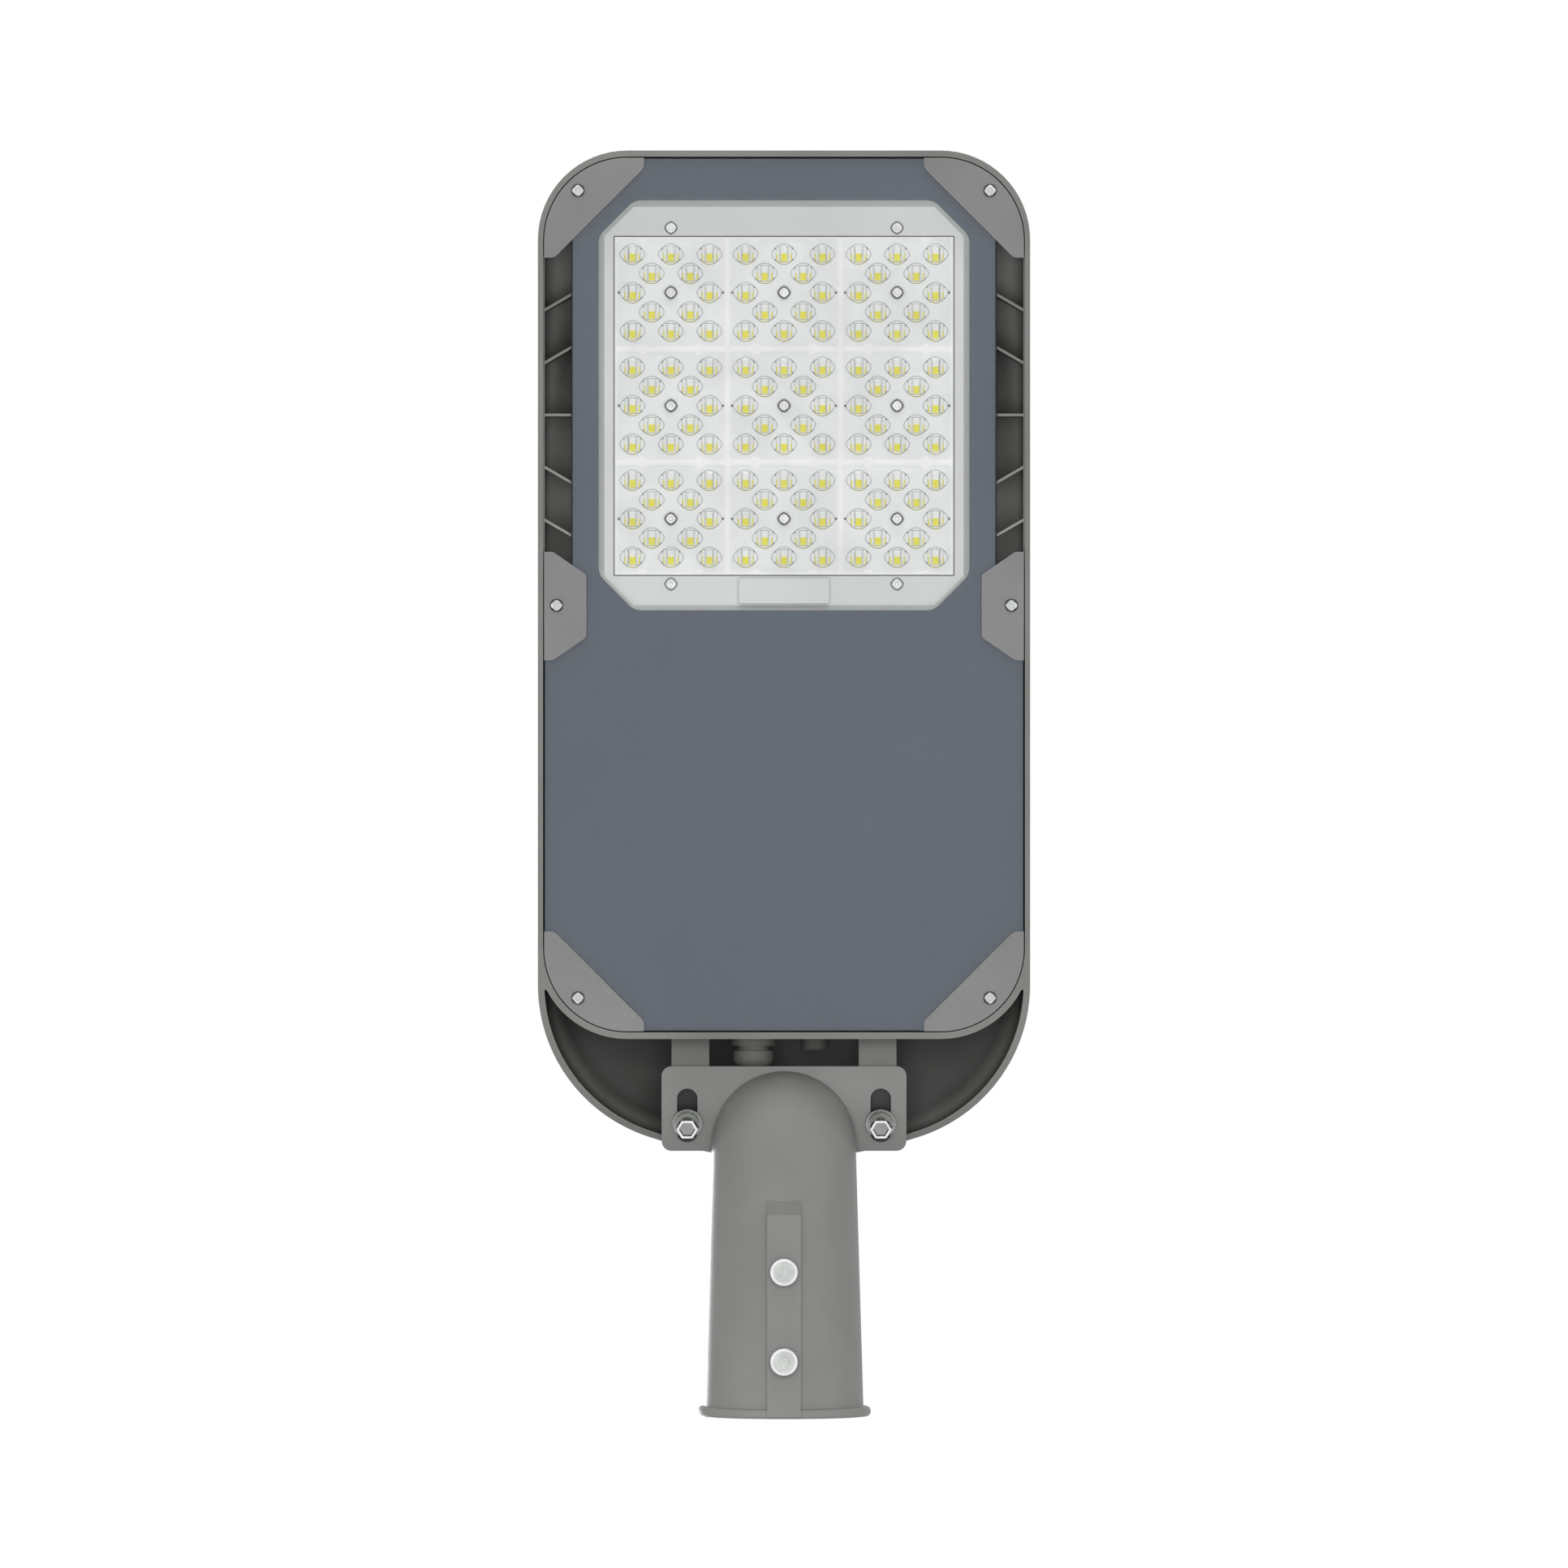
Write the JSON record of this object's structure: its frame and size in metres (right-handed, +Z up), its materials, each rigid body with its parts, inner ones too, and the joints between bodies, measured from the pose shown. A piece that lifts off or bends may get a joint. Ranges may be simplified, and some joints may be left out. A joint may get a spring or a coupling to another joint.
{
  "type": "led street light head",
  "caption": "Flat street light head with lens arrays behind glass, side recesses, a rear hood and a tilting spigot adapter with clamp screws.",
  "frame": {"origin": "centre of the spigot bore at the mouth of the adapter", "axes": "+Y along the bore, out of its mouth, so the nose of the lamp is at -Y; +Z up, so the glass faces -Z; +X to the right in a view from below with the nose at the top"},
  "size_m": [0.228, 0.5867, 0.1115],
  "materials": {
    "cast_housing": "grey powder coat",
    "cast_adapter": "grey powder coat",
    "clear_glass": "clear toughened glass",
    "blue_grey_print": "fired blue-grey print behind glass",
    "seal_rubber": "black rubber",
    "clip_metal": "grey powder coat",
    "bright_steel": "bright steel",
    "tray_grey": "satin light grey",
    "board_white": "white solder mask",
    "chip_yellow": "yellow phosphor",
    "lens_plastic": "clear moulded plastic over the white board",
    "sheet_metal": "plain sheet",
    "gear_plastic": "light grey moulding",
    "gland_plastic": "dark grey moulding",
    "black_plastic": "black moulding"
  },
  "bodies": {
    "adapter": {"spigot_adapter": "cast_adapter", "clamp_screws": "bright_steel"},
    "head": {"housing": "cast_housing", "glass_cover": "clear_glass", "printed_mask": "blue_grey_print", "glass_gasket": "seal_rubber", "front_clip_left": "clip_metal", "front_clip_right": "clip_metal", "rear_clip_left": "clip_metal", "rear_clip_right": "clip_metal", "side_clip_left": "clip_metal", "side_clip_right": "clip_metal", "clip_screws": "bright_steel", "led_tray": "tray_grey", "tray_screws": "bright_steel", "connector_cover": "tray_grey", "led_board": "board_white", "led_chips": "chip_yellow", "lens_array_1": "lens_plastic", "lens_array_2": "lens_plastic", "lens_array_3": "lens_plastic", "lens_array_4": "lens_plastic", "lens_array_5": "lens_plastic", "lens_array_6": "lens_plastic", "lens_array_7": "lens_plastic", "lens_array_8": "lens_plastic", "lens_array_9": "lens_plastic", "lens_screws": "bright_steel", "gear_tray": "sheet_metal", "gear_tray_screws": "bright_steel", "driver": "gear_plastic", "surge_protector": "gear_plastic", "terminal_block": "gear_plastic", "gland_body": "gland_plastic", "gland_seal": "seal_rubber", "gland_nut": "gland_plastic", "vent_plug": "black_plastic", "tilt_bolts": "bright_steel", "tilt_spring_washers": "bright_steel", "tilt_flat_washers": "bright_steel"}
  },
  "joints": [
    {"name": "head_tilt", "type": "hinge", "parent": "adapter", "child": "head", "pos_m": [0, -0.157, 0.06], "axis": [-1, 0, 0], "range_deg": [-4, 10]}
  ]
}
